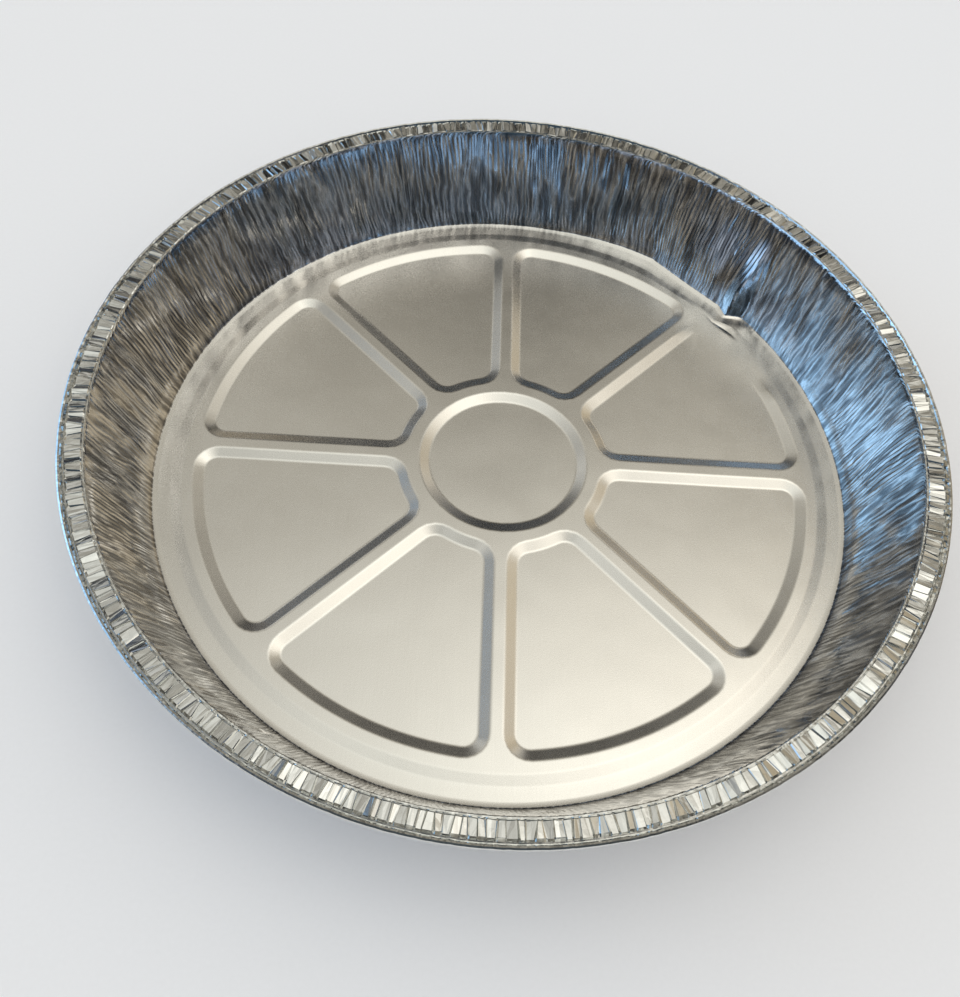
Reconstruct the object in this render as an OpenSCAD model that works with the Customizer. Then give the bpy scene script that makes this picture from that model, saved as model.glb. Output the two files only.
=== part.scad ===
// Round foil pie tin, pressed from one thin aluminium sheet.
// A flat floor with a wheel of raised ribs, a crumpled flaring side, a pleated flange
// and an edge curled over into a bead. The side was knocked in once, at one corner.
// Millimetres. The origin is the middle of the base and +Z is up.

/* [Sheet] */
// Thickness of the sheet
sheet_t = 0.12; // [0.1:0.01:0.2]
// Radius at which the lines of floor and side meet
floor_r = 99.6; // [90:0.2:125]
// Flare of the side, measured across, from the floor to the crease under the flange
side_flare = 8.8; // [5:0.1:14]
// Height of the crease between side and flange
crease_h = 31.8; // [24:0.2:40]
// Radius of the bend between floor and side
corner_rad = 1.1; // [0.8:0.1:2.4]

/* [Flange and bead] */
// Width of the pleated flange
flange_w = 4.4; // [3.6:0.1:5]
// Rise of the flange from the crease to its outer end
flange_rise = 0.2; // [0:0.1:1.5]
// Drop from the flange into the groove
groove_drop = 0.5; // [0.3:0.05:0.7]
// Slant of the pleats' ends down into the groove, measured across
pleat_end_w = 0.35; // [0.3:0.05:0.5]
// Width of the groove's floor
groove_w = 0.75; // [0.4:0.05:0.8]
// Outer diameter of the curled bead
bead_d = 1.2; // [1.2:0.05:2]

/* [Ribs] */
// Number of spokes
spokes = 8; // [6:1:10]
// Height of the ribs above the panels
rib_h = 1.1; // [0.8:0.05:1.4]
// Width of each sloped flank in plan
flank_w = 3; // [2.4:0.1:3.4]
// Width of a spoke's flat top
spoke_top_w = 3.2; // [2.4:0.1:4.2]
// Width of the outer ring's flat top
ring_top_w = 3; // [2.6:0.1:4]
// Width of the hub ring's flat top
hub_top_w = 3.6; // [2.4:0.1:4.2]
// Radius of the round panel in the hub
hub_panel_r = 21.6; // [18:0.2:25]
// Width of the outer ring's gentle slope down to the border
border_flank = 3; // [2:0.1:3.6]
// Flat border between that slope and the line where the side starts
border_w = 5; // [4:0.1:6]
// Height of the border above the panels
border_rise = 0.7; // [0.5:0.05:0.85]
// Corner radius at the wide end of a panel
panel_outer_rad = 3.6; // [2.5:0.1:5]
// Corner radius at the narrow end of a panel
panel_inner_rad = 4; // [2.5:0.1:5]

/* [Folds] */
// Folds round the side and the flange
folds = 104; // [84:1:112]
// Depth of the side's folds, from the middle to a crest
side_fold = 0.42; // [0.2:0.02:0.5]
// Depth of the flange's pleats, from the middle to a crest
pleat = 0.26; // [0.15:0.01:0.3]
// Slant of the folds between floor and flange
fold_slant = 2.5; // [-4:0.1:4]

/* [Dent] */
// Direction of the dent's tip
dent_az = 41; // [30:1:60]
// How far the side is pushed in at the tip
dent_in = 3.5; // [2:0.1:4.2]
// Spread of the dent's short side
dent_short = 6; // [6:0.5:10]
// Spread of the dent's long side
dent_long = 19; // [14:0.5:24]
// Radius of the patch where the ribs are pressed flat
flat_patch_r = 16; // [10:0.5:18]
// Distance of that patch from the middle
flat_patch_at = 88; // [84:0.5:90]
// Height above the border that the ribs keep in the patch
flat_h = 0.12; // [0.06:0.01:0.3]

/* [Hidden] */

half_t = sheet_t / 2;
floor_mid = border_rise + half_t;

// Flange, groove and bead, from the inside out. The curl is a six-sided turn of the
// sheet, less the side that stays open below the groove.
curl_sides = 6;
curl_step = 360 / curl_sides;
curl_r = bead_d / 2 - half_t / cos(curl_step / 2);
crease_r = floor_r + side_flare;
flange_out = crease_r + flange_w;
groove_in = flange_out + pleat_end_w;
groove_out = groove_in + groove_w;
bead_at = groove_out + curl_r;
flange_h = crease_h + flange_rise;
groove_h = flange_h - groove_drop;

// Straight line of the side and the bend at its foot
side_ang = atan2(crease_h - floor_mid, crease_r - floor_r);
bend_len = corner_rad * tan(side_ang / 2);
bend_r = floor_r - bend_len;
bend_z = floor_mid + corner_rad;
foot = [bend_r + corner_rad * sin(side_ang), bend_z - corner_rad * cos(side_ang)];
crease = [crease_r, crease_h];

// Ribs, from the outside in
ring_foot = floor_r - border_w;
ring_top_out = ring_foot - border_flank;
ring_top_in = ring_top_out - ring_top_w;
panel_out = ring_top_in - flank_w;
hub_top_in = hub_panel_r + flank_w;
hub_top_out = hub_top_in + hub_top_w;
panel_in = hub_top_out + flank_w;
panel_side = spoke_top_w / 2 + flank_w;
flank_slope = flank_w / rib_h;
border_slope = border_flank / (rib_h - border_rise);
rim_steps = 8;
nose_steps = 4;
corner_steps = 3;

// Under the ring's flat top the wheel, the strip of the side and the floor overlap, each
// ending at its own share of the top's width
wheel_lap = 0.25;
strip_lap = 0.45;
floor_lap = 0.65;
lap_out = ring_top_out - ring_top_w * wheel_lap;
lap_mid = ring_top_out - ring_top_w * strip_lap;
lap_in = ring_top_out - ring_top_w * floor_lap;

// Section of the side through the middle of the sheet, from under the outer ring's top
// to the curl's free edge, with two points partway up the side for its folds
lower_wall = 0.36;
upper_wall = 0.7;
side_line = concat([
    [lap_mid, floor_mid],
    [bend_r, floor_mid],
    [bend_r + corner_rad * sin(side_ang / 2), bend_z - corner_rad * cos(side_ang / 2)],
    foot,
    foot + (crease - foot) * lower_wall,
    foot + (crease - foot) * upper_wall,
    crease,
    [flange_out, flange_h],
    [groove_in, groove_h]],
    [for (k = [0 : curl_sides - 1])
        [bead_at - curl_r * cos(k * curl_step), groove_h + curl_r * sin(k * curl_step)]]);
rings = len(side_line);

// Points round the tin at each point of the section: two for each fold where it is
// folded, and one where it is smooth
first_folded = 1;
last_folded = 8;
function steps_at(i) = i < first_folded || i > last_folded ? folds : 2 * folds;
function ring_start(i) = i == 0 ? 0 : ring_start(i - 1) + steps_at(i - 1);
one_side = ring_start(rings);

// How deep the folds are, how far the dent pushes in and how much of the slant there is,
// at each point of the section up to the groove
side_share = [0, 0, 0.15, 0.5, 1, 1, 0.55, 0, 0];
pleat_share = [0, 0, 0, 0, 0, 0, 0.5, 1, 0];
dent_share = [0, 1, 1, 1, 0.8, 0.3, 0.04, 0, 0];
turn_share = [0, 0, 0.04, 0.1, 0.4, 0.72, 1, 1, 1];
function share(list, i) = list[min(i, last_folded)];

// Folds differ from one to the next: the even share of their depth is the same for all,
// the rest is drawn from a fixed list, and so is how far each lies to one side
fold_even = 0.62;
pleat_even = 0.7;
fold_sway = 0.3;
depth_seed = 7;
sway_seed = 19;
uneven = rands(-1, 1, one_side, depth_seed);
sway = rands(-1, 1, one_side, sway_seed);

// Unit direction of the section's step from point i to the next
function step_dir(i) = let(d = side_line[i + 1] - side_line[i]) d / norm(d);

// Direction square to the section at point i, lengthened so that the sheet keeps its
// thickness on both sides of a bend
function across(i) =
    let(a = step_dir(max(0, i - 1)), b = step_dir(min(rings - 2, i)),
        m = [-(a[1] + b[1]), a[0] + b[0]],
        u = m / norm(m))
    u / (u * [-b[1], b[0]]);

// How far the dent brings the side in at direction az: the round line is straightened
// from the tip to each end of the dent
dent_from = dent_az - dent_short;
dent_to = dent_az + dent_long;
function dent(az) =
    az <= dent_from || az >= dent_to ? 0
    : let(end = az < dent_az ? dent_from : dent_to,
        p = (floor_r - dent_in) * [cos(dent_az), sin(dent_az)],
        d = floor_r * [cos(end), sin(end)] - p)
    floor_r - (p[0] * d[1] - p[1] * d[0]) / (cos(az) * d[1] - sin(az) * d[0]);

// One point of the crumpled sheet, at point i of the section and step j round the tin
function sheet_point(i, j, side) =
    let(n = ring_start(i) + j,
        crest = (j % 2 == 0 ? 1 : -1),
        side_mix = fold_even * crest + (1 - fold_even) * uneven[n],
        pleat_mix = pleat_even * crest + (1 - pleat_even) * uneven[n],
        soft = share(side_share, i) * side_fold * side_mix,
        sharp = share(pleat_share, i) * pleat * pleat_mix,
        loose = min(1, share(side_share, i) + share(pleat_share, i)),
        az = (j + fold_sway * sway[n] * loose) * 360 / steps_at(i),
        p = side_line[i] + across(i) * (side * half_t + soft + sharp),
        slant = fold_slant * share(turn_share, i),
        r = p[0] - share(dent_share, i) * dent(az + slant),
        turn = az + slant)
    [r * cos(turn), r * sin(turn), p[1]];

// Number of the sheet's point at step j of ring i
function at(i, j) = ring_start(i) + (j % steps_at(i));

// Triangles of the band between rings i and i + 1, where one has as many steps as the
// other or twice as many
function band(i) =
    let(inner = steps_at(i), outer = steps_at(i + 1))
    inner >= outer
    ? let(m = inner / outer)
        [for (k = [0 : outer - 1])
            each m == 1
            ? [[at(i, k), at(i + 1, k + 1), at(i + 1, k)], [at(i, k), at(i, k + 1), at(i + 1, k + 1)]]
            : [[at(i, 2 * k), at(i, 2 * k + 1), at(i + 1, k)],
               [at(i, 2 * k + 1), at(i + 1, k + 1), at(i + 1, k)],
               [at(i, 2 * k + 1), at(i, 2 * k + 2), at(i + 1, k + 1)]]]
    : [for (k = [0 : inner - 1])
        each [[at(i, k), at(i + 1, 2 * k + 1), at(i + 1, 2 * k)],
              [at(i, k), at(i, k + 1), at(i + 1, 2 * k + 1)],
              [at(i, k + 1), at(i + 1, 2 * k + 2), at(i + 1, 2 * k + 1)]]];

// The crumpled side, flange, groove and curled edge as one closed strip of sheet
module crumpled_side() {
    upper = [for (i = [0 : rings - 1], j = [0 : steps_at(i) - 1]) sheet_point(i, j, 1)];
    lower = [for (i = [0 : rings - 1], j = [0 : steps_at(i) - 1]) sheet_point(i, j, -1)];
    last = rings - 1;
    skin = [for (i = [0 : last - 1]) each band(i)];
    under = [for (f = skin) [f[0] + one_side, f[2] + one_side, f[1] + one_side]];
    ends = [for (j = [0 : folds - 1])
        let(a = at(0, j), b = at(0, j + 1), c = at(last, j), d = at(last, j + 1))
        each [[a, a + one_side, b], [b, a + one_side, b + one_side],
              [c, d, c + one_side], [d, d + one_side, c + one_side]]];
    polyhedron(points = concat(upper, lower), faces = concat(skin, under, ends), convexity = 8);
}

// Points of an arc about a centre, from angle a to angle b
function arc(centre, r, a, b, steps) =
    [for (s = [0 : steps]) let(w = a + (b - a) * s / steps) centre + r * [cos(w), sin(w)]];

// Outline of a panel between two spokes, about the +X axis, grown by d on every side
function panel_outline(d) =
    let(half = 180 / spokes,
        oc = panel_out - panel_outer_rad,
        ic = panel_in + panel_inner_rad,
        oa = half - asin((panel_side + panel_outer_rad) / oc),
        ia = half - asin((panel_side + panel_inner_rad) / ic),
        outer = arc(oc * [cos(oa), sin(oa)], panel_outer_rad + d, oa, half + 90, corner_steps),
        inner = arc(ic * [cos(ia), sin(ia)], panel_inner_rad + d, half + 90, ia + 180, corner_steps),
        rim = arc([0, 0], panel_out + d, -oa, oa, rim_steps),
        nose = arc([0, 0], panel_in - d, ia, -ia, nose_steps))
    concat(
        [for (s = [1 : rim_steps - 1]) rim[s]],
        outer,
        inner,
        [for (s = [1 : nose_steps - 1]) nose[s]],
        [for (s = [corner_steps : -1 : 0]) [inner[s][0], -inner[s][1]]],
        [for (s = [corner_steps : -1 : 0]) [outer[s][0], -outer[s][1]]]);

// Recess of one panel, wider at the top by the slope of the flanks
module panel_recess(low, high) {
    base = panel_outline((low - sheet_t) * flank_slope);
    top = panel_outline((high - sheet_t) * flank_slope);
    m = len(base);
    mid = (panel_in + panel_out) / 2;
    points = concat(
        [for (p = base) [p[0], p[1], low]],
        [for (p = top) [p[0], p[1], high]],
        [[mid, 0, low], [mid, 0, high]]);
    faces = [for (j = [0 : m - 1])
        let(k = (j + 1) % m)
        each [[j, k, 2 * m], [m + k, m + j, 2 * m + 1], [j, m + j, k], [k, m + j, m + k]]];
    polyhedron(points = points, faces = faces, convexity = 4);
}

// The wheel of ribs as a solid that starts inside the sheet
module rib_wheel() {
    low = half_t;
    high = sheet_t + rib_h;
    edge = floor_mid;
    cut_low = low - half_t / 2;
    cut_high = high + half_t;
    difference() {
        rotate_extrude($fn = 240)
            polygon([[0, low], [lap_out, low], [lap_out, edge],
                     [ring_foot + half_t * border_slope, edge], [ring_top_out, high], [0, high]]);
        translate([0, 0, cut_low])
            cylinder(h = cut_high - cut_low, $fn = 120,
                     r1 = hub_panel_r + (cut_low - sheet_t) * flank_slope,
                     r2 = hub_panel_r + (cut_high - sheet_t) * flank_slope);
        for (s = [0 : spokes - 1])
            rotate([0, 0, (s + 0.5) * 360 / spokes])
                panel_recess(cut_low, cut_high);
        pressed_patch();
    }
}

// What the knock at the dent took off the ribs
module pressed_patch() {
    low = sheet_t + border_rise + flat_h;
    high = sheet_t + rib_h + half_t;
    rotate([0, 0, dent_az])
        translate([flat_patch_at, 0, low])
            cylinder(h = high - low, $fn = 90,
                     r1 = flat_patch_r, r2 = flat_patch_r + (high - low) * flank_slope);
}

module pie_tin() {
    color("silver")
        difference() {
            union() {
                crumpled_side();
                cylinder(r = lap_in, h = sheet_t, $fn = 240);
                rib_wheel();
            }
            translate([0, 0, -sheet_t])
                rib_wheel();
        }
}

pie_tin();
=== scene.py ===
import bpy
import math
import random
from mathutils import Matrix, Vector, noise


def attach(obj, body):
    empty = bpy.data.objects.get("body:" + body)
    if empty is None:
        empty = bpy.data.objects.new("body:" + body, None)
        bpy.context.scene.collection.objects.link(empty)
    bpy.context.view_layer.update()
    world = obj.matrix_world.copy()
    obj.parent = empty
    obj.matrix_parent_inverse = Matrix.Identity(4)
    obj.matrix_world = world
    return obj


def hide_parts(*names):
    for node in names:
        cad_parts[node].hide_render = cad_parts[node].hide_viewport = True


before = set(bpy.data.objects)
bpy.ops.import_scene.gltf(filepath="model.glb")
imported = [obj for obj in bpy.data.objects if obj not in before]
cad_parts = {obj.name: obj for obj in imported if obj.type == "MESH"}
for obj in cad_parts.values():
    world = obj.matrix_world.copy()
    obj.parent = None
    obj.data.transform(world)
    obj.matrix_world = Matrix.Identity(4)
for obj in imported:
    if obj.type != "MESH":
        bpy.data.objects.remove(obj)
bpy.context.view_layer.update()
mm = 0.001
print("frame loaded")

cameraSet = {
    "lens": 33.026,
    "sensor": 36.0,
    "distance": 261.0,
    "elevation": 57.825,
    "azimuth": -3.167,
    "roll": 5.973,
    "target": (-6.305, -13.474, 0.0),
}


def placeCamera(s):
    bpy.ops.object.camera_add()
    camera = bpy.context.object
    camera.name = "mainCamera"
    rise, turn, roll = (math.radians(s[k]) for k in ("elevation", "azimuth", "roll"))
    back = Vector((math.sin(turn) * math.cos(rise), -math.cos(turn) * math.cos(rise), math.sin(rise)))
    right = Vector((math.cos(turn), math.sin(turn), 0.0))
    up = back.cross(right)
    side = right * math.cos(roll) + up * math.sin(roll)
    top = up * math.cos(roll) - right * math.sin(roll)
    pose = Matrix((side, top, back)).transposed().to_4x4()
    pose.translation = (Vector(s["target"]) + back * s["distance"]) * mm
    camera.matrix_world = pose
    camera.data.lens = s["lens"]
    camera.data.sensor_width = s["sensor"]
    camera.data.clip_start = 0.01
    bpy.context.scene.camera = camera


placeCamera(cameraSet)
print("camera placed")


# Wraps a socket so that shader maths reads as a sum
class Wire:
    def __init__(self, tree, plug=None):
        self.tree = tree
        self.plug = plug

    def make(self, kind, settings, sockets, outlet=0):
        node = self.tree.nodes.new("ShaderNode" + kind)
        for name, value in settings.items():
            if name == "stops":
                while len(node.color_ramp.elements) < len(value):
                    node.color_ramp.elements.new(0.5)
                for element, (place, colour) in zip(node.color_ramp.elements, value):
                    element.position = place
                    element.color = (*colour, 1.0)
            else:
                setattr(node, name, value)
        for name, value in sockets.items():
            if isinstance(value, Wire):
                self.tree.links.new(value.plug, node.inputs[name])
            else:
                node.inputs[name].default_value = value
        return Wire(self.tree, node.outputs[outlet])

    def maths(self, operation, first, second=0.0):
        return self.make("Math", {"operation": operation}, {0: first, 1: second})

    def limit(self):
        return self.make("Clamp", {}, {0: self})

    def blend(self, first, second):
        return self.make("Mix", {"data_type": "RGBA"}, {0: self, 6: first, 7: second}, 2)

    def __add__(self, other):
        return self.maths("ADD", self, other)

    def __radd__(self, other):
        return self.maths("ADD", other, self)

    def __sub__(self, other):
        return self.maths("SUBTRACT", self, other)

    def __rsub__(self, other):
        return self.maths("SUBTRACT", other, self)

    def __mul__(self, other):
        return self.maths("MULTIPLY", self, other)


def newMaterial(name):
    material = bpy.data.materials.new(name)
    material.use_nodes = True
    material.node_tree.nodes.clear()
    return material, Wire(material.node_tree)


def finishMaterial(material, w, shader):
    out = w.tree.nodes.new("ShaderNodeOutputMaterial")
    w.tree.links.new(shader.plug, out.inputs["Surface"])
    return material


def finishFoil(material, w, colour, roughness, height):
    bump = w.make("Bump", {}, {"Strength": 1.0, "Distance": 1.0, "Height": height})
    shader = w.make("BsdfPrincipled", {}, {"Base Color": colour, "Metallic": 1.0,
                                           "Roughness": roughness, "Normal": bump})
    return finishMaterial(material, w, shader)


# Sizes, widths and depths of the finishes are in mm
floorFinish = {
    "colour": (0.86, 0.835, 0.79),
    "shade": (0.79, 0.765, 0.715),
    "roughness": 0.27,
    "roughSpread": 0.08,
    "roughGrain": 0.06,
    "grainSize": 0.33,
    "grainDepth": 0.010,
    "streakSize": 0.6,
    "streakTurn": 0.4,      # radians
    "streakSlim": 0.06,
    "streakDepth": 0.004,
    "waveSize": 16.0,
    "waveDepth": 0.05,
    "rubSize": 9.0,
    "tone": (0.6, 0.4, 0.5, 0.25),      # shares of grain, streaks and rubbing, less the last
}


def floorFoil(s):
    material, w = newMaterial("satinFloorFoil")
    place = w.make("TexCoord", {}, {}, 3)
    grain = w.make("TexNoise", {}, {"Vector": place, "Scale": 1 / (s["grainSize"] * mm),
                                    "Detail": 3.0, "Roughness": 0.6})
    # Rolling leaves the foil with long faint streaks one way
    rolled = w.make("Mapping", {}, {"Vector": place, "Rotation": (0, 0, s["streakTurn"]),
                                    "Scale": (1.0, s["streakSlim"], 1.0)})
    streak = w.make("TexNoise", {}, {"Vector": rolled, "Scale": 1 / (s["streakSize"] * mm),
                                     "Detail": 2.0})
    wave = w.make("TexNoise", {}, {"Vector": place, "Scale": 1 / (s["waveSize"] * mm), "Detail": 1.0})
    rub = w.make("TexNoise", {}, {"Vector": place, "Scale": 1 / (s["rubSize"] * mm),
                                  "Detail": 4.0, "Roughness": 0.65})
    byGrain, byStreak, byRub, less = s["tone"]
    tone = (grain * byGrain + streak * byStreak + rub * byRub - less).limit()
    colour = tone.blend((*s["shade"], 1), (*s["colour"], 1))
    roughness = s["roughness"] + (rub - 0.5) * s["roughSpread"] + (grain - 0.5) * s["roughGrain"]
    height = wave * (s["waveDepth"] * mm) + grain * (s["grainDepth"] * mm)
    return finishFoil(material, w, colour, roughness, height + streak * (s["streakDepth"] * mm))


sideFinish = {
    # Painted light: the side's colour is painted dark as shade, with pale painted highlight lines
    # along the folds
    "colour": (0.78, 0.78, 0.78),
    "shade": (0.26, 0.26, 0.265),
    "roughness": 0.13,
    "roughSpread": 0.06,
    "rubSize": 10.0,
    "driftScale": 0.12,     # bends of the lines to a mm
    "driftReach": 2.6,
    "wrinkleWidth": 1.9,
    "wrinkleStretch": 5.5,
    "wrinkleEdge": 1.6,
    "wrinkleDepth": 0.04,
    "lineWidth": 1.6,       # between fine lines along the folds, which are painted highlights and raised relief
    "lineStretch": 10.0,
    "lineStart": (7, 3, 1),
    "lineDepth": 0.035,
    "highlightLineLevel": 0.3,
    "tone": (1.6, 0.2, 0.5),            # shares of the painted highlight lines, of the painted shade at the creases, and of rubbing
}


def sideFoil(s):
    material, w = newMaterial("crumpledSideFoil")
    run = w.make("Attribute", {"attribute_name": "foilRun"}, {}, 1)
    drift = w.make("TexNoise", {}, {"Vector": run, "Scale": s["driftScale"], "Detail": 2.0}, 1)
    moved = w.make("VectorMath", {"operation": "MULTIPLY_ADD"},
                   {0: drift, 1: (s["driftReach"],) * 3, 2: run})
    long = w.make("Mapping", {}, {"Vector": moved, "Scale": (1, 1, 1 / s["wrinkleStretch"])})
    crease = w.make("TexVoronoi", {"feature": "DISTANCE_TO_EDGE"},
                    {"Vector": long, "Scale": 1 / s["wrinkleWidth"], "Randomness": 1.0})
    lineLong = w.make("Mapping", {}, {"Vector": moved, "Scale": (1, 1, 1 / s["lineStretch"]),
                                      "Location": s["lineStart"]})
    line = w.make("TexNoise", {"noise_type": "RIDGED_MULTIFRACTAL"},
                  {"Vector": lineLong, "Scale": 1 / s["lineWidth"], "Detail": 0.0, "Offset": 1.0})
    rub = w.make("TexNoise", {}, {"Vector": run, "Scale": 1 / s["rubSize"], "Detail": 4.0})
    ridge = (crease * s["wrinkleEdge"]).limit()
    byLine, byRidge, byRub = s["tone"]
    # The colour paints pale highlight lines along the folds and shade at the creases' edges over a
    # dark foil; rubbing varies it at random
    tone = ((line - s["highlightLineLevel"]) * byLine + (ridge - 0.5) * byRidge + (rub - 0.5) * byRub).limit()
    colour = tone.blend((*s["shade"], 1), (*s["colour"], 1))
    roughness = s["roughness"] + (rub - 0.5) * s["roughSpread"]
    height = ridge * (s["wrinkleDepth"] * mm) + line * (s["lineDepth"] * mm)
    return finishFoil(material, w, colour, roughness, height)


rimFinish = {
    # Painted shade: the rim's colour is darker than the floor's foil, and darker still along the
    # pleats' creases
    "colour": (0.80, 0.805, 0.785),
    "shade": (0.64, 0.64, 0.62),
    "roughness": 0.16,
    "roughSpread": 0.06,
    "rubSize": 2.5,
    "rubDepth": 0.03,
    "creaseWidth": 1.6,
    "creaseStretch": 4.0,
    "creaseEdge": 2.0,
    "creaseDepth": 0.05,
    "tone": (0.5, 0.6),                 # shares of the painted shade at the creases and of rubbing
}


def rimFoil(s):
    material, w = newMaterial("pleatedRimFoil")
    run = w.make("Attribute", {"attribute_name": "foilRun"}, {}, 1)
    slim = w.make("Mapping", {}, {"Vector": run, "Scale": (1, 1, 1 / s["creaseStretch"])})
    crease = w.make("TexVoronoi", {"feature": "DISTANCE_TO_EDGE"},
                    {"Vector": slim, "Scale": 1 / s["creaseWidth"], "Randomness": 1.0})
    rub = w.make("TexNoise", {}, {"Vector": run, "Scale": 1 / s["rubSize"], "Detail": 4.0})
    ridge = (crease * s["creaseEdge"]).limit()
    byRidge, byRub = s["tone"]
    # The colour darkens along the pleats' creases as painted shade; rubbing varies it at random
    tone = (ridge * byRidge + rub * byRub).limit()
    colour = tone.blend((*s["shade"], 1), (*s["colour"], 1))
    roughness = s["roughness"] + (rub - 0.5) * s["roughSpread"]
    height = ridge * (s["creaseDepth"] * mm) + rub * (s["rubDepth"] * mm)
    return finishFoil(material, w, colour, roughness, height)


# Millimetres, the same sizes as the part's source
tin = {
    "sheet": 0.12,
    "floorR": 99.6,
    "flare": 8.8,
    "creaseH": 31.8,
    "bendRad": 0.35,
    "edgeUp": 0.24,         # the floor's edge, turned up before the bend
    "flange": 4.4,
    "flangeRise": 0.2,
    "pleatEnd": 0.35,
    "grooveW": 0.75,
    "grooveDrop": 0.5,
    "beadD": 1.2,
    "spokes": 8,
    "ribH": 1.1,
    "flank": 3.0,
    "spokeTop": 3.2,
    "ringTop": 3.0,
    "hubTop": 3.6,
    "hubPanelR": 21.6,
    "borderFlank": 3.0,
    "border": 5.0,
    "borderRise": 0.7,
    "outerCorner": 3.6,
    "innerCorner": 4.0,
    "edgeBlend": 0.3,       # rounding of the ribs' edges
    "edgeHold": 0.55,       # extra rings that keep the flanks flat
    "borderRow": 1.8,       # an extra ring of points, out from the foot of the outer ring
    "borderEdge": 97.9,     # where the finer points of the side begin
    "around": 1200,         # points round the side
    "ringCount": 200,       # points round the outer ring
    "wallSteps": 10,
    "wallTop": (0.3, 1.1),  # in and down from the crease
    # out and up from the crease, then the shares of the folds and pleats
    "lip": ((-0.08, -0.4, 0.5, 0), (0.1, -0.04, 0.2, 0), (0.42, 0, 0.1, 0), (0.6, -0.26, 0.04, 0.3),
            (0.85, -0.06, 0, 0.85)),
    "pleatStart": 0.9,      # out from the crease
    "pleatReach": 1.03,     # of the flange
    "groove": ((0.1, -0.3, 0.1), (0.4, -0.4, 0)),       # the same from its inner edge, pleats only
    "beadTuck": 0.07,
    "beadTurns": (165, 125, 85, 45, 0, -50, -110),      # degrees
    "beadWave": (26, 0.08, 0.12),       # changes, how far in and how far up
    "beadNick": (60, 0.08, 0.1),
    "pleatColumns": (3, 3, 3, 3, 4),
    "pleatTilt": 0.27,
    "foldR": 104.0,
    "reliefR": 106.0,       # where the fine relief's patterns are laid out
    "foldSlant": 1.3,       # degrees
    "foldSway": 1.4,        # degrees
    "foldDepth": 0.06,
    "ridgeFall": 2.4,       # how steeply a broad ridge falls off
    "foldEdge": 0.105,
    "foldProud": (0.35, 0.6, 0.6, 0.8),     # least, middle, changes by the broad and slim noise
    "foldSkew": (0.16, 0.2),                # columns: middle, change by the swell
    "swellDepth": 0.10,
    # noises of the folds: width, start, changes up the side and start there
    "wide": (2.3, 0, 2.0, 5),
    "slim": (1.15, 40, 2.4, 0),
    "broad": (6, 20, 2.5, 0),
    "swell": (17, 0, 1.4, 9),
}
radial = tin["around"]
ribTop = tin["sheet"] + tin["ribH"]
borderTop = tin["sheet"] + tin["borderRise"]
creaseR = tin["floorR"] + tin["flare"]
ringFoot = tin["floorR"] - tin["border"]
borderFlank = tin["borderFlank"]
ringTopOut = ringFoot - borderFlank
ringMid = ringTopOut - tin["ringTop"] / 2
panelOut = ringTopOut - tin["ringTop"] - tin["flank"]
hubTopIn = tin["hubPanelR"] + tin["flank"]
hubMid = hubTopIn + tin["hubTop"] / 2
panelIn = hubTopIn + tin["hubTop"] + tin["flank"]
panelSide = tin["spokeTop"] / 2 + tin["flank"]
dice = random.Random(23)


def makeTube(name, count, rings, finish="open", cuts=0):
    # A circle drawn up ring by ring: point j stands at angle j and ring k at height k,
    # so that each can be put in its own place afterwards
    bpy.ops.object.select_all(action="DESELECT")
    bpy.ops.mesh.primitive_circle_add(vertices=count, radius=1.0, fill_type="NOTHING")
    tube = bpy.context.object
    tube.name = name
    bpy.ops.object.mode_set(mode="EDIT")
    bpy.ops.mesh.select_all(action="SELECT")
    for ring in range(1, rings):
        bpy.ops.mesh.extrude_region_move(TRANSFORM_OT_translate={"value": (0, 0, 1)})
    if finish == "centre":
        bpy.ops.mesh.merge(type="CENTER")
    if finish == "split":
        bpy.ops.mesh.subdivide(number_cuts=cuts)
    bpy.ops.object.mode_set(mode="OBJECT")
    return tube


def placeTube(tube, count, place, finerRing=None, finerCount=0):
    for v in tube.data.vertices:
        ring = round(v.co.z)
        points = finerCount if ring == finerRing else count
        step = round(math.atan2(v.co.y, v.co.x) / (2 * math.pi) * points) % points
        v.co = place(step, ring) * mm


def smooth(t):
    t = max(0.0, min(1.0, t))
    return t * t * (3 - 2 * t)


def past(value, start, width):
    return smooth((value - start) / width)


# Height of a rib's flank above its foot, d millimetres in from that foot
def flankRise(d, width, height):
    blendW = tin["edgeBlend"]
    slope = height / width
    if d <= -blendW:
        return 0.0
    if d < blendW:
        return slope * (d + blendW) ** 2 / (4 * blendW)
    if d <= width - blendW:
        return slope * d
    if d < width + blendW:
        return height - slope * (width + blendW - d) ** 2 / (4 * blendW)
    return height


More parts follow.
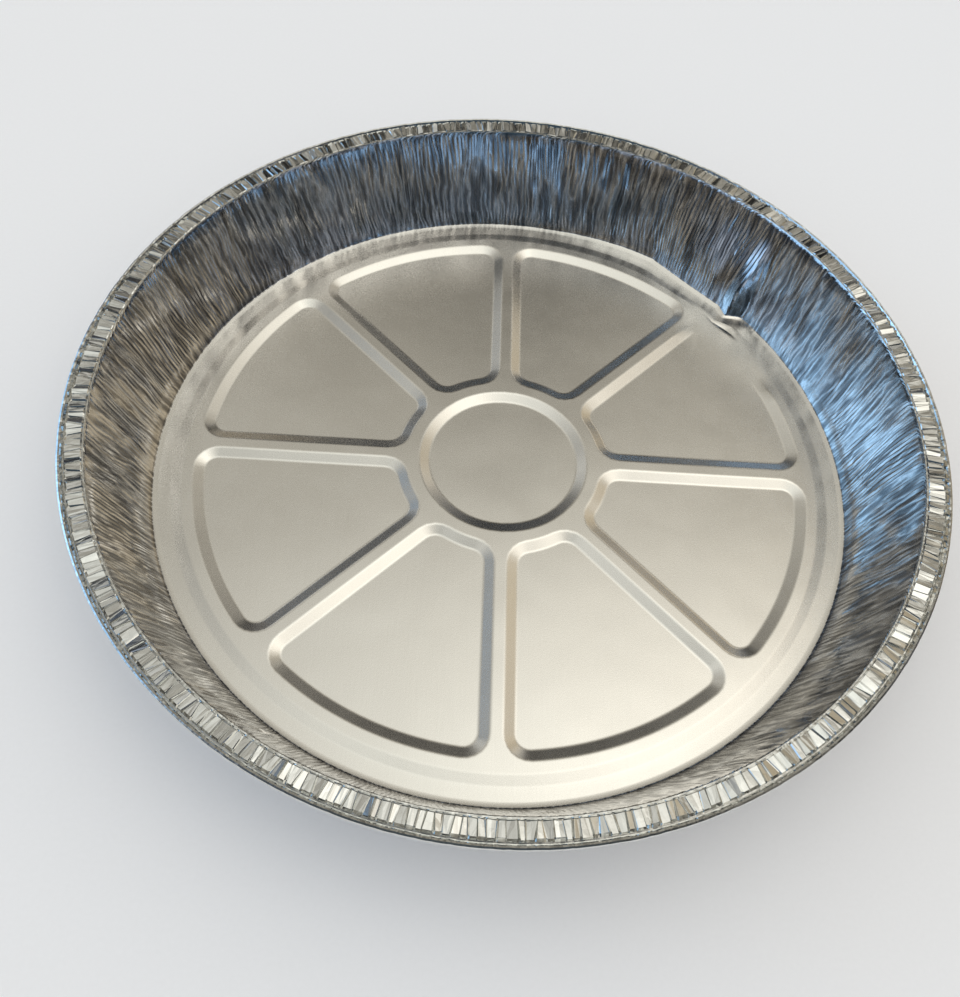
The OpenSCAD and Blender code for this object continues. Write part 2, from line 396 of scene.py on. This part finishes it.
# Outline of the panel about +X: points, outward directions and how far the top runs on
def panelOutline():
    half = math.pi / tin["spokes"]
    ro, ri = tin["outerCorner"], tin["innerCorner"]
    oc, ic = panelOut - ro, panelIn + ri
    oa = half - math.asin((panelSide + ro) / oc)
    ia = half - math.asin((panelSide + ri) / ic)
    outCentre = Vector((oc * math.cos(oa), oc * math.sin(oa)))
    inCentre = Vector((ic * math.cos(ia), ic * math.sin(ia)))
    outTurn = Vector((ringMid * math.cos(half), ringMid * math.sin(half))) - outCentre
    inTurn = Vector((hubMid * math.cos(half), hubMid * math.sin(half))) - inCentre
    outStar = math.atan2(outTurn.y, outTurn.x)
    inStar = math.atan2(inTurn.y, inTurn.x)
    square = half + math.pi / 2

    def unit(w):
        return Vector((math.cos(w), math.sin(w)))

    def toRing(p, n):
        b = p.dot(n)
        return -b + math.sqrt(b * b - p.dot(p) + ringMid * ringMid)

    def toHub(p, n):
        b = p.dot(n)
        return -b - math.sqrt(b * b - p.dot(p) + hubMid * hubMid)

    def toSpoke(p, n):
        across = unit(square)
        return -p.dot(across) / n.dot(across)

    upper = []
    arcSteps, outerSteps, straightSteps, innerSteps, noseSteps = 19, 3, 14, 2, 5
    for i in range(arcSteps + 1):
        w = -oa + 2 * oa * i / arcSteps
        upper.append((unit(w) * panelOut, unit(w), ringMid - panelOut))
    corner = []

    def turnCorner(centre, size, first, last, steps, reach):
        for i in range(1, steps + 1):
            n = unit(first + (last - first) * i / steps)
            p = centre + n * size
            corner.append((p, n, reach(p, n)))

    turnCorner(outCentre, ro, oa, outStar, outerSteps, toRing)
    turnCorner(outCentre, ro, outStar, square, outerSteps, toSpoke)
    start = outCentre + unit(square) * ro
    end = inCentre + unit(square) * ri
    for i in range(1, straightSteps + 1):
        p = start.lerp(end, i / straightSteps)
        corner.append((p, unit(square), toSpoke(p, unit(square))))
    turnCorner(inCentre, ri, square, inStar, innerSteps, toSpoke)
    turnCorner(inCentre, ri, inStar, ia + math.pi, innerSteps, toHub)
    nose = []
    for i in range(1, noseSteps):
        w = ia - 2 * ia * i / noseSteps
        nose.append((unit(w) * panelIn, -unit(w), panelIn - hubMid))
    flip = [(Vector((p.x, -p.y)), Vector((n.x, -n.y)), t) for p, n, t in reversed(corner)]
    return upper + corner + nose + flip


outline = panelOutline()
panelCount = len(outline)
edge, hold = tin["edgeBlend"], tin["edgeHold"]
panelDepths = [None, tin["flank"] + hold, tin["flank"] + edge, tin["flank"], tin["flank"] - edge,
               tin["flank"] - hold, hold, edge, 0.0, -edge, -hold]
panelShrink = [0.14, 0.36, 0.66, 1.0]
panelCentre = Vector(((panelIn + panelOut) * 0.51, 0))


def panelPoint(step, ring):
    p, n, reach = outline[step]
    if ring == 0:
        spot = p + n * reach
        return Vector((spot.x, spot.y, ribTop))
    if ring < len(panelDepths):
        d = panelDepths[ring]
        spot = p + n * d
        return Vector((spot.x, spot.y, tin["sheet"] + flankRise(d, tin["flank"], tin["ribH"])))
    share = panelShrink[ring - len(panelDepths)]
    spot = (p - n * tin["edgeHold"]).lerp(panelCentre, share)
    return Vector((spot.x, spot.y, tin["sheet"]))


def sortedTurns(radius):
    # Angles of the sectors' points on a circle, once each all the way round
    turns = []
    for p, n, reach in outline:
        spot = p + n * reach
        if abs(spot.length - radius) < 0.001:
            for s in range(tin["spokes"]):
                turn = math.atan2(spot.y, spot.x) + (s + 0.5) * 2 * math.pi / tin["spokes"]
                turns.append((turn + 0.0001) % (2 * math.pi) - 0.0001)
    turns.sort()
    return [b for a, b in zip([-1.0] + turns, turns) if b - a > 0.001]


ringTurns = sortedTurns(ringMid)
hubTurns = sortedTurns(hubMid)
print("outline", panelCount, "ring", len(ringTurns), "hub", len(hubTurns))


hubRadii = [17.0, 11.0, 5.0, 0.0]


def hubPoint(step, ring):
    w = hubTurns[step]
    if ring == 0:
        return Vector((hubMid * math.cos(w), hubMid * math.sin(w), ribTop))
    if ring < len(panelDepths):
        r = tin["hubPanelR"] + panelDepths[ring]
        z = tin["sheet"] + flankRise(panelDepths[ring], tin["flank"], tin["ribH"])
        return Vector((r * math.cos(w), r * math.sin(w), z))
    r = hubRadii[ring - len(panelDepths)]
    return Vector((r * math.cos(w), r * math.sin(w), tin["sheet"]))


borderDepths = [None, borderFlank + hold, borderFlank + edge, borderFlank, borderFlank - edge,
                borderFlank - hold, hold, edge, 0.0, -edge, -tin["borderRow"],
                ringFoot - tin["borderEdge"]]


def ringPoint(step, ring):
    if ring == 0:
        w = ringTurns[step]
        return Vector((ringMid * math.cos(w), ringMid * math.sin(w), ribTop))
    d = borderDepths[ring]
    fine = ring == len(borderDepths) - 1
    w = 2 * math.pi * step / (tin["around"] if fine else tin["ringCount"])
    r = ringFoot - d
    z = borderTop + flankRise(d, borderFlank, tin["ribH"] - tin["borderRise"])
    return Vector((r * math.cos(w), r * math.sin(w), z))


# Section from the border to the bead's free edge: radius, height, and the shares of the
# side's folds and of the flange's pleats
def sideSection():
    ang = math.atan2(tin["creaseH"] - borderTop, tin["flare"])
    rad = tin["bendRad"]
    bendR = tin["floorR"] - rad * math.tan(ang / 2)
    lip = borderTop + tin["edgeUp"]
    rows = [(tin["borderEdge"], borderTop, 0, 0), (tin["borderEdge"] + 0.4, borderTop, 0, 0),
            (bendR, lip, 0, 0)]
    for i in range(1, 4):
        w = ang * i / 3
        fold = 0.15 if i == 3 else 0
        rows.append((bendR + rad * math.sin(w), lip + rad - rad * math.cos(w), fold, 0))
    foot = Vector(rows[-1][:2])
    crease = tin["creaseH"]
    topIn, topDown = tin["wallTop"]
    top = Vector((creaseR - topIn, crease - topDown))
    for i in range(1, tin["wallSteps"] + 1):
        p = foot.lerp(top, i / tin["wallSteps"])
        rows.append((p.x, p.y, min(1.0, 0.3 + 0.5 * i, 0.6 + (crease - p.y) / 5), 0))
    # The narrow lip, then the flange, the groove and the bead
    rows += [(creaseR + out, crease + up, fold, pleat) for out, up, fold, pleat in tin["lip"]]
    rows.append((creaseR + tin["flange"] * tin["pleatReach"], crease + tin["flangeRise"], 0, 1.0))
    grooveH = crease + tin["flangeRise"] - tin["grooveDrop"]
    grooveIn = creaseR + tin["flange"] + tin["pleatEnd"]
    beadR = tin["beadD"] / 2
    beadAt = grooveIn + tin["grooveW"] + beadR - tin["beadTuck"]
    rows += [(grooveIn + out, grooveH + up, 0, pleat) for out, up, pleat in tin["groove"]]
    for degrees in tin["beadTurns"]:
        w = math.radians(degrees)
        rows.append((beadAt + beadR * math.cos(w), grooveH + beadR * math.sin(w), 0, 0))
    return rows


section = sideSection()
pleated = [ring for ring, row in enumerate(section) if row[3] > 0]
firstPleat, lastPleat = pleated[0], pleated[-1]
print("section rings", len(section), "pleated", firstPleat, "to", lastPleat)


# Pleats: facets of many widths between narrow creases, each leaning its own way. For every
# column of points: its place (in columns) and its lift at both ends, and how far the end juts
def foldPleats():
    creases, at = [], 0
    while at < radial - 1:
        creases.append({
            "column": at,
            "in": at + dice.uniform(-0.85, 0.85),
            "out": at + dice.uniform(-0.85, 0.85),
            "inHalf": dice.uniform(0.2, 0.55),
            "outHalf": dice.uniform(0.25, 0.65),
            "inDeep": dice.uniform(0.12, 0.5),
            "outDeep": dice.uniform(0.2, 0.6),
        })
        at += dice.choice(tin["pleatColumns"])
    table = [None] * radial
    for n, a in enumerate(creases):
        b = dict(creases[(n + 1) % len(creases)])
        if n + 1 == len(creases):
            for key in ("column", "in", "out"):
                b[key] += radial
        width = b["column"] - a["column"]
        rise = dice.uniform(-0.08, 0.16)
        tiltIn, tiltOut = [dice.uniform(-tin["pleatTilt"], tin["pleatTilt"]) for k in range(2)]
        end = dice.uniform(-0.4, 0.15)
        table[a["column"]] = (a["in"], a["out"], -a["inDeep"], -a["outDeep"], -0.45)
        for i in range(1, width):
            t = (i - 1) / (width - 2) if width > 2 else 0.5
            inLeft, inRight = a["in"] + a["inHalf"], b["in"] - b["inHalf"]
            outLeft, outRight = a["out"] + a["outHalf"], b["out"] - b["outHalf"]
            table[a["column"] + i] = (inLeft + (inRight - inLeft) * t,
                                      outLeft + (outRight - outLeft) * t,
                                      rise + tiltIn * (2 * t - 1), rise + tiltOut * (2 * t - 1), end)
    return table


pleatTable = foldPleats()


def roundNoise(turn, changes, height):
    return noise.noise(Vector((changes * math.cos(turn), changes * math.sin(turn), height)))


def foldLean(turn, run):
    # How far the folds lie over at one place, in radians
    sway = roundNoise(turn, 9, run * 1.3 + 3)
    sway += 0.35 * roundNoise(turn, 28, run * 3 + 7)
    return math.radians(tin["foldSlant"] * run + tin["foldSway"] * sway)


def foldNoise(kind, turn, run):
    width, start, changes, foot = tin[kind]
    x, y = tin["foldR"] * math.cos(turn), tin["foldR"] * math.sin(turn)
    return noise.noise(Vector((x / width + start, y / width, run * changes + foot)))


def crumple(turn, run, step):
    # Folds of the pressed side: every second column of points stands proud, by more in
    # some places than in others, and with one narrow flank and one wide one
    swell = foldNoise("swell", turn, run)
    side = 1 if step % 2 else -1
    least, middle, byBroad, bySlim = tin["foldProud"]
    proud = side * max(least, middle + byBroad * foldNoise("broad", turn, run))
    proud += bySlim * foldNoise("slim", turn, run)
    ridge = 1 - tin["ridgeFall"] * abs(foldNoise("wide", turn, run))
    skewMiddle, skewSwell = tin["foldSkew"]
    depth = ridge * tin["foldDepth"] + proud * tin["foldEdge"] + swell * tin["swellDepth"]
    return depth, side * (skewMiddle + skewSwell * swell)


def sidePoint(step, ring):
    r, z, fold, pleat = section[ring]
    turn = 2 * math.pi * step / radial
    before, after = section[max(0, ring - 1)], section[min(len(section) - 1, ring + 1)]
    along = Vector((after[0] - before[0], after[1] - before[1])).normalized()
    inward = Vector((-along.y, along.x))
    inPlace, outPlace, inLift, outLift, end = pleatTable[step]
    lift = 0.0
    if fold > 0:
        run = max(0.0, min(1.0, (z - borderTop) / (tin["creaseH"] - borderTop)))
        # The facet pushed in by the knock is smooth
        facetTurn, facetHalf, facetSmooth = knock["facet"]
        calm = smooth((1 - abs(math.degrees(turn) - facetTurn) / facetHalf) * 2)
        calm *= 1 - past(run, *knock["facetTop"])
        depth, skew = crumple(turn, run, step)
        lift += fold * depth * (1 - facetSmooth * calm)
        turn += foldLean(turn, run) * min(1.0, fold * 1.5) + skew * fold * 2 * math.pi / radial
    t = max(0.0, min(1.0, (r - creaseR - tin["pleatStart"]) / (tin["flange"] - tin["pleatStart"])))
    if pleat > 0:
        lift += pleat * (inLift * (1 - t) + outLift * t)
    if ring >= firstPleat - 3:
        grow = min(1.0, (ring - firstPleat + 4) / 4)
        ease = 1.0 if ring <= lastPleat else max(0.0, 1 - (ring - lastPleat) / 3)
        turn += (inPlace * (1 - t) + outPlace * t - step) * grow * ease * 2 * math.pi / radial
    if ring == lastPleat - 1:
        r += end
    if ring >= lastPleat:
        waves, waveIn, waveUp = tin["beadWave"]
        nicks, nickIn, nickUp = tin["beadNick"]
        wave = roundNoise(turn, waves, 3)
        nick = roundNoise(turn, nicks, 8)
        r += -waveIn * abs(wave) - nickIn * max(0.0, nick)
        z += waveUp * wave + nickUp * nick
    r += inward.x * lift
    z += inward.y * lift
    return Vector((r * math.cos(turn), r * math.sin(turn), z))


# Directions are in degrees. A pair named for an end, a foot, a top or a fade says where
# a change starts and over how much it runs
knock = {
    "notch": ((38.8, 0.0), (41.0, 3.8), (43.3, 2.3), (60.0, 0.0)),  # direction, how far in
    "reach": 10.0,          # how far in over the floor it pulls
    "pullEnd": 97.5,
    "floorEnd": 99,         # points of the floor lie inside it
    "wallFade": (5, 25),
    "facet": (42.2, 3.6, 0.95),         # direction, half its width, how much smoother
    "facetTop": (0.25, 0.3),            # share of the side's height
    "patch": ((55.7, 51.4), (69.2, 40.5), (76.5, 29.5), (84.5, 33.5), (97.0, 44.0), (68.0, 81.0)),
    "patchSoft": 3.0,
    "patchRise": 0.95,
    "patchRamp": 20,        # how far in from its inner edge it is at its highest
    "patchWave": (7, 0.07),             # size and height
    "patchEnd": (98.5, 7),
    "borderKept": (84, 9),              # where the border's own height shows through it
    "mark": ((69.5, 60.2), (73.3, 55.4)),   # short crease over the border
    "markDeep": 0.45,
    "markHalf": 1.3,
    "pucker": (78.6, 57.6),                 # small raised fold
    "puckerHigh": 0.9,
    "puckerR": 3.2,
    "wallFold": (40.4, 7.5, 4.2, 0.9),      # direction, gentle width, steep width, height
    "wallFoldFoot": (0.8, 9),
    "wallFoldTop": (8, 11.0),
    "wallFoldFull": 18.0,                   # height at which that fold is at its widest
    "edgeLift": (38.0, 43.0, 62.0, 84.0, 1.05),  # floor's edge bent up: its ends, rise
    "edgeLiftTop": (1, 9),
}
# The slow unevenness of used foil
wear = {
    "rise": 0.11,
    "sizes": (26, 11),
    "smaller": 0.4,         # share of the smaller size
    "middle": (4, 8),       # the middle stays calm
    "end": (97.5, 12),
}


def chordIn(turn):
    # Depth of the knock under the round line of the side, at one direction
    a = math.degrees(turn)
    for (startTurn, startIn), (endTurn, endIn) in zip(knock["notch"], knock["notch"][1:]):
        if startTurn < a <= endTurn:
            start, end = math.radians(startTurn), math.radians(endTurn)
            p = Vector((math.cos(start), math.sin(start))) * (tin["floorR"] - startIn)
            d = Vector((math.cos(end), math.sin(end))) * (tin["floorR"] - endIn) - p
            u = Vector((math.cos(turn), math.sin(turn)))
            reach = (p.x * d.y - p.y * d.x) / (u.x * d.y - u.y * d.x)
            return max(0.0, tin["floorR"] - reach)
    return 0.0


def patchShare(x, y):
    # 1 well inside the pressed patch and 0 outside it, and how far in from its inner edge
    corners = knock["patch"]
    least, inner = 1.0, 0.0
    for i in range(len(corners)):
        ax, ay = corners[i]
        bx, by = corners[(i + 1) % len(corners)]
        length = math.hypot(bx - ax, by - ay)
        d = ((bx - ax) * (y - ay) - (by - ay) * (x - ax)) / length
        if i == 0:
            inner = d
        least = min(least, smooth(0.5 + d / knock["patchSoft"]))
    return least, inner


def offLine(x, y, ends):
    (ax, ay), (bx, by) = ends
    t = ((x - ax) * (bx - ax) + (y - ay) * (by - ay)) / ((bx - ax) ** 2 + (by - ay) ** 2)
    t = max(0.0, min(1.0, t))
    return math.hypot(x - ax - t * (bx - ax), y - ay - t * (by - ay))


def pressFloor(x, y, r, z):
    # The pressed patch, then the short crease and the small raised fold beside it
    end, fade = knock["patchEnd"]
    share, inner = patchShare(x, y) if r < end and z < 2 else (0.0, 0.0)
    if share > 0:
        size, high = knock["patchWave"]
        flat = tin["sheet"] + knock["patchRise"] * max(0.0, min(1.0, inner / knock["patchRamp"]))
        flat += high * (1 + noise.noise(Vector((x / size, y / size, 2))))
        flat = max(flat, tin["sheet"] + tin["borderRise"] * past(r, *knock["borderKept"]))
        z = z + (flat - z) * share * smooth((end - r) / fade)
    if r < knock["floorEnd"] and z < 2:
        z -= knock["markDeep"] * smooth(1 - offLine(x, y, knock["mark"]) / knock["markHalf"])
        px, py = knock["pucker"]
        z += knock["puckerHigh"] * max(0.0, 1 - math.hypot(x - px, y - py) / knock["puckerR"])
    return z


def unevenness(x, y, r, z):
    end, fade = wear["end"]
    if z >= ribTop + 0.3 or r >= end:
        return 0.0
    large, small = wear["sizes"]
    change = noise.noise(Vector((x / large, y / large, 1.5)))
    change += wear["smaller"] * noise.noise(Vector((x / small, y / small, 7)))
    return wear["rise"] * (1 + change) * past(r, *wear["middle"]) * smooth((end - r) / fade)


def pushIn(r, turn, z):
    # The pull fades inwards over the floor, and the push fades upwards on the side
    push = chordIn(turn)
    if r < knock["floorEnd"] and z < 3:
        return push * past(r, knock["pullEnd"] - knock["reach"], knock["reach"])
    return push * (1 - past(z, *knock["wallFade"]))


def wallFold(r, turn, z):
    # The crease up the side, over the kink: gentle one way and steep the other
    at, gentle, steep, high = knock["wallFold"]
    foot = knock["wallFoldFoot"][0]
    spread = 0.2 + 0.8 * min(1.0, max(0.0, z - foot) / knock["wallFoldFull"])
    s = math.radians(math.degrees(turn) - at) * r / spread
    if z <= 0.9 or not -steep < s < gentle or r >= creaseR:
        return 0.0
    crest = 1 - s / gentle if s > 0 else 1 + s / steep
    return high * crest * (1 - past(z, *knock["wallFoldTop"])) * past(z, *knock["wallFoldFoot"])


def edgeLift(r, turn, z):
    startLow, startFull, endFull, endLow, rise = knock["edgeLift"]
    edgeIn = ringFoot + tin["edgeBlend"]
    if r <= edgeIn or z >= 10:
        return 0.0
    a = math.degrees(turn)
    share = smooth((a - startLow) / (startFull - startLow)) * smooth((endLow - a) / (endLow - endFull))
    ramp = min(1.0, (r - edgeIn) / (tin["floorR"] - edgeIn))
    return rise * share * ramp * (1 - past(z, *knock["edgeLiftTop"]))


def settle(p):
    # Each change works on what the one before it left
    r, z = math.hypot(p.x, p.y), p.z
    turn = math.atan2(p.y, p.x)
    z = pressFloor(p.x, p.y, r, z)
    z += unevenness(p.x, p.y, r, z)
    r -= pushIn(r, turn, z)
    r -= wallFold(r, turn, z)
    z += edgeLift(r, turn, z)
    return Vector((r * math.cos(turn), r * math.sin(turn), z))


def foilAt(spot):
    # Which foil covers a place: the floor's, the side's or the rim's
    r, z = math.hypot(spot.x, spot.y) / mm, spot.z / mm
    if z < 1.2 and r < tin["floorR"] - 0.25:
        return 0
    return 1 if r < creaseR - 0.1 and z < tin["creaseH"] - 0.5 else 2


def makeTin():
    # One panel with its share of the ribs, then a copy between every two spokes
    sector = makeTube("panel", panelCount, len(panelDepths) + len(panelShrink), "centre")
    placeTube(sector, panelCount, panelPoint)
    parts = []
    for s in range(tin["spokes"]):
        bpy.ops.object.select_all(action="DESELECT")
        sector.select_set(True)
        bpy.context.view_layer.objects.active = sector
        bpy.ops.object.duplicate()
        copy = bpy.context.object
        copy.rotation_euler.z = (s + 0.5) * 2 * math.pi / tin["spokes"]
        bpy.ops.object.transform_apply(location=False, rotation=True, scale=False)
        parts.append(copy)
    bpy.data.objects.remove(sector)
    hub = makeTube("hub", len(hubTurns), len(panelDepths) + len(hubRadii), "centre")
    placeTube(hub, len(hubTurns), hubPoint)
    finerCuts = radial // tin["ringCount"] - 1
    ring = makeTube("outerRing", tin["ringCount"], len(borderDepths), "split", finerCuts)
    placeTube(ring, tin["ringCount"], ringPoint, len(borderDepths) - 1, radial)
    side = makeTube("side", radial, len(section))
    placeTube(side, radial, sidePoint)
    print("floor and side drawn")
    floorParts = parts + [hub, ring]
    bpy.ops.object.select_all(action="DESELECT")
    for part in floorParts + [side]:
        part.select_set(True)
    for part in floorParts:
        part.data.materials.append(foils[0])
    for foil in foils:
        side.data.materials.append(foil)
    for face in side.data.polygons:
        face.material_index = foilAt(face.center)
    bpy.context.view_layer.objects.active = side
    bpy.ops.object.join()
    whole = bpy.context.object
    whole.name = "pressedTin"
    bpy.ops.object.mode_set(mode="EDIT")
    bpy.ops.mesh.select_all(action="SELECT")
    bpy.ops.mesh.remove_doubles(threshold=0.02 * mm)
    bpy.ops.mesh.normals_make_consistent(inside=False)
    bpy.ops.object.mode_set(mode="OBJECT")
    mesh = whole.data
    if mesh.polygons[0].normal.z < 0 or sum(f.normal.z for f in mesh.polygons[:500]) < 0:
        mesh.flip_normals()
    # Where each point lies on the sheet, for the folds' fine relief
    runs = mesh.attributes.new("foilRun", "FLOAT_VECTOR", "POINT")
    reliefR = tin["reliefR"]
    for v in mesh.vertices:
        x, y, z = v.co / mm
        r = math.hypot(x, y)
        along = z + max(0.0, r - creaseR) - 1.5
        run = max(0.0, min(1.0, z / tin["creaseH"]))
        lean = math.atan2(y, x) - math.radians(tin["foldSlant"]) * run
        runs.data[v.index].vector = (reliefR * math.cos(lean), reliefR * math.sin(lean), along)
        v.co = settle(Vector((x, y, z))) * mm
    bpy.ops.object.shade_smooth_by_angle(angle=math.radians(24))
    # Folds are crisp across and smooth along
    for rib in mesh.edges:
        low, high = (mesh.vertices[i].co / mm for i in rib.vertices)
        if abs(low.z - high.z) > 1.5 and math.hypot(low.x, low.y) < creaseR:
            rib.use_edge_sharp = True
    for face in mesh.polygons:
        spot = face.center / mm
        r = math.hypot(spot.x, spot.y)
        pleatOut = tin["flange"] + 0.3
        if tin["pleatStart"] < r - creaseR < pleatOut and spot.z > tin["creaseH"] - 1:
            face.use_smooth = False
    return whole


def giveThickness(whole):
    wall = whole.modifiers.new("sheetThickness", "SOLIDIFY")
    wall.thickness = tin["sheet"] * mm
    wall.offset = -1.0
    bpy.context.view_layer.objects.active = whole
    bpy.ops.object.modifier_apply(modifier=wall.name)


foils = [floorFoil(floorFinish), sideFoil(sideFinish), rimFoil(rimFinish)]
print("foil materials made")
pressedTin = makeTin()
giveThickness(pressedTin)
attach(pressedTin, "root")
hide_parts("pie_tin")
triangles = sum(len(f.vertices) - 2 for f in pressedTin.data.polygons)
print("tin made", len(pressedTin.data.vertices), "points", triangles, "triangles")


studio = {
    "floorSize": 16.0,
    "floorColour": (0.90, 0.895, 0.885),
    "floorSpeck": (0.93, 0.925, 0.915),
    "speckScale": 900.0,
    "softBoxes": (
        # place in metres, size, watts, colour
        ((0.75, 0.0, 1.6), 1.1, 1.3, (1.0, 0.96, 0.88)),
        ((-0.1, 0.35, 1.8), 1.1, 0.5, (1.0, 0.99, 0.95)),
    ),
}


def makeFloor(s):
    bpy.ops.object.select_all(action="DESELECT")
    bpy.ops.mesh.primitive_plane_add(size=s["floorSize"], location=(0, 0, -0.0001))
    ground = bpy.context.object
    ground.name = "studioFloor"
    material, w = newMaterial("paleFloor")
    place = w.make("TexCoord", {}, {}, 3)
    speck = w.make("TexNoise", {}, {"Vector": place, "Scale": s["speckScale"], "Detail": 2.0})
    colour = speck.blend((*s["floorColour"], 1), (*s["floorSpeck"], 1))
    shader = w.make("BsdfPrincipled", {}, {"Base Color": colour, "Roughness": 0.8})
    ground.data.materials.append(finishMaterial(material, w, shader))


def makeLamps(s):
    for place, size, power, colour in s["softBoxes"]:
        bpy.ops.object.light_add(type="AREA", location=place)
        lamp = bpy.context.object
        lamp.data.shape = "DISK"
        lamp.data.size = size
        lamp.data.energy = power
        lamp.data.color = colour
        lamp.rotation_euler = (Vector((0, 0, 0)) - Vector(place)).to_track_quat("-Z", "Y").to_euler()


# Soft surroundings that the foil mirrors: bright overhead, dim near the horizon
surroundings = {
    # from straight down at 0 to straight up at 1
    "lift": ((0.0, (0.045, 0.053, 0.075)), (0.671, (0.058, 0.06, 0.068)),
             (0.75, (0.085, 0.083, 0.08)), (0.82, (0.155, 0.146, 0.128)),
             (0.863, (0.265, 0.248, 0.21)), (0.883, (0.295, 0.277, 0.235)),
             (0.91, (0.43, 0.41, 0.358)), (0.942, (0.53, 0.516, 0.463)),
             (0.97, (0.61, 0.61, 0.565)), (1.0, (0.62, 0.65, 0.61))),
    # turn, height, full inside the first angle and none past the second, strength, colour
    "glows": (
        (0, 66, 18, 33, 0.42, (1.0, 0.95, 0.86)),
        (58, 68, 5, 19, 0.2, (1.0, 0.99, 0.92)),
        (-151, 77, 8, 22, 0.25, (1.0, 1.0, 0.95)),
        (155, 19, 8, 23, 1.25, (0.33, 0.63, 1.0)),
        (184, 14, 12, 34, 1.15, (0.36, 0.64, 1.0)),
        (178, 14, 12, 62, 0.17, (0.34, 0.6, 1.0)),
        (-28, 12, 0, 15, 0.42, (0.80, 0.86, 1.0)),
        (-60, 12, 0, 15, 0.42, (0.80, 0.86, 1.0)),
        (-118, 12, 0, 15, 0.42, (0.80, 0.86, 1.0)),
        (-150, 12, 0, 15, 0.38, (0.80, 0.86, 1.0)),
        (121, 42, 4, 11, 0.6, (1.0, 1.0, 0.95)),
        (62, 34, 4, 10, 0.45, (1.0, 1.0, 0.95)),
        (37, 24, 8, 30, 0.5, (1.0, 0.83, 0.56)),
        (-95, 14, 10, 60, 0.09, (0.4, 0.7, 1.0)),
    ),
    # upright strips of light and dark low down
    "strips": {
        "waves": ((11, 1.0), (19, 2.3)),    # how many, and where they start
        "waveDepth": 0.3,
        "least": 0.35,
        "spread": 1.4,
        "fadeFrom": 42,
        "fadeTo": 62,
    },
    "evenLight": 0.85,
    "shades": (
        (-90, 45, 28, 50, 0.85),
        (89, 30, 8, 15, 0.6),
    ),
}


def makeWorld(s):
    world = bpy.data.worlds.new("softStudio")
    bpy.context.scene.world = world
    world.use_nodes = True
    world.node_tree.nodes.clear()
    w = Wire(world.node_tree)
    way = w.make("TexCoord", {}, {}, 0)
    upness = w.make("SeparateXYZ", {}, {0: way}, 2)
    colour = w.make("ValToRGB", {"stops": s["lift"]}, {0: upness * 0.5 + 0.5})

    def toward(turn, height, full, none):
        t, h = math.radians(turn), math.radians(height)
        aim = (math.cos(t) * math.cos(h), math.sin(t) * math.cos(h), math.sin(h))
        near = w.make("VectorMath", {"operation": "DOT_PRODUCT"}, {0: way, 1: aim}, 1)
        return w.make("MapRange", {"interpolation_type": "SMOOTHSTEP"},
                      {"Value": near, "From Min": math.cos(math.radians(none)),
                       "From Max": math.cos(math.radians(full))})

    strips = s["strips"]
    east = w.make("SeparateXYZ", {}, {0: way}, 0)
    north = w.make("SeparateXYZ", {}, {0: way}, 1)
    bearing = w.maths("ARCTAN2", north, east)
    first, second = [w.maths("SINE", bearing * many + start) * strips["waveDepth"]
                     for many, start in strips["waves"]]
    strip = (first + second + 0.5).limit() * strips["spread"] + strips["least"]
    fade = w.make("MapRange", {"interpolation_type": "SMOOTHSTEP"},
                  {"Value": upness, "From Min": math.sin(math.radians(strips["fadeFrom"])),
                   "From Max": math.sin(math.radians(strips["fadeTo"]))})
    strip = strip + fade * (1 - strip)
    colour = w.make("VectorMath", {"operation": "SCALE"}, {0: colour, 3: strip})
    for turn, height, full, none, strength in s["shades"]:
        dim = 1 - toward(turn, height, full, none) * strength
        grey = w.make("CombineXYZ", {}, {0: dim, 1: dim, 2: dim})
        colour = w.make("Mix", {"data_type": "RGBA", "blend_type": "MULTIPLY"},
                        {0: 1.0, 6: colour, 7: grey}, 2)
    for turn, height, full, none, strength, tint in s["glows"]:
        glow = toward(turn, height, full, none) * strength
        warm = w.make("VectorMath", {"operation": "SCALE"}, {0: tint, 3: glow})
        colour = w.make("VectorMath", {"operation": "ADD"}, {0: colour, 1: warm})
    # Matt surfaces are lit evenly, and metal mirrors what the camera would see there
    diffuse = w.make("LightPath", {}, {}, 2)
    plain = w.make("Background", {}, {"Color": (1, 1, 1, 1), "Strength": s["evenLight"]})
    mirrored = w.make("Background", {}, {"Color": colour, "Strength": 1.0})
    outer = w.make("MixShader", {}, {0: diffuse, 1: mirrored, 2: plain})
    out = w.tree.nodes.new("ShaderNodeOutputWorld")
    w.tree.links.new(outer.plug, out.inputs["Surface"])


makeFloor(studio)
makeLamps(studio)
makeWorld(surroundings)
bpy.context.scene.view_settings.view_transform = "Standard"
print("floor, lamps and surroundings made")
